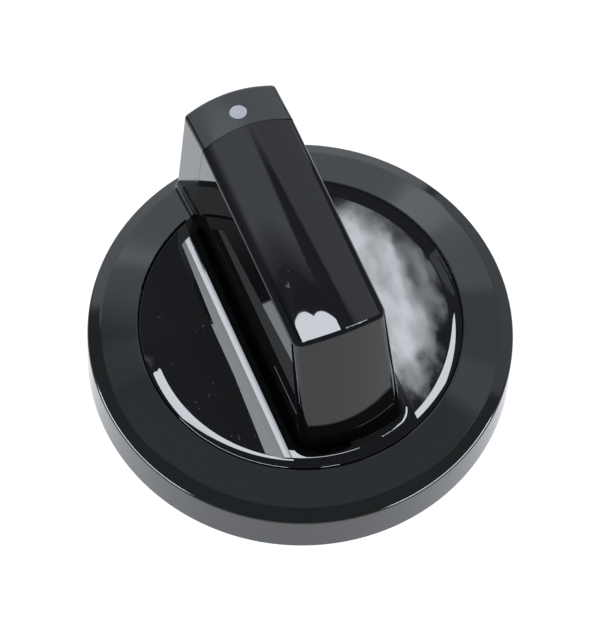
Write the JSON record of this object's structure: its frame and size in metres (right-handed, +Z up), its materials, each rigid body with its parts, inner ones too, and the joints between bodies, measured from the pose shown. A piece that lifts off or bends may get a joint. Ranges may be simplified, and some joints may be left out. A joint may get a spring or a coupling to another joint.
{
  "type": "control knob",
  "caption": "Round black control knob for a cooker or hob: satin skirt with a pointer block and index dot, glossy insert with a shallow recess and a tall crowned bar grip, D-shaped shaft socket below.",
  "frame": {"origin": "on the shaft axis, in the plane of the skirt's lower rim", "axes": "+Z up along the shaft axis, away from the panel; +Y towards the pointer and its index dot; +X to the right of the pointer"},
  "size_m": [0.05, 0.05, 0.025],
  "materials": {
    "satin_black": "satin moulded thermoplastic",
    "gloss_black": "high-gloss moulded thermoplastic with fine handling scratches",
    "index_grey": "pale grey paint fill"
  },
  "bodies": {
    "root": {"skirt_ring": "satin_black", "grip_insert": "gloss_black", "index_dot": "index_grey"}
  },
  "joints": []
}
